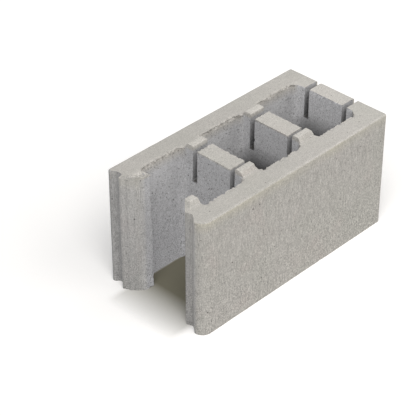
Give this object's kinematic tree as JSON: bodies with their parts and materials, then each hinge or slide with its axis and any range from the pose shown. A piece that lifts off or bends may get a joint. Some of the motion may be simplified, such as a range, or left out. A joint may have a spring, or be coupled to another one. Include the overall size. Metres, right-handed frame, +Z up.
{
  "type": "concrete block",
  "caption": "Hollow mortarless concrete wall block with a flat closed end, an open interlocking end, cross webs with knock-out slots and raised locating nibs on top.",
  "frame": {"origin": "centre of the block's footprint, on the bed it stands on", "axes": "+X along the block towards the closed end, +Y towards the shell with the tongue, +Z up"},
  "size_m": [0.4, 0.195, 0.208],
  "materials": {
    "concrete": "rough, open-grained, with small pores"
  },
  "bodies": {
    "root": {"concrete_block": "concrete"}
  },
  "joints": []
}
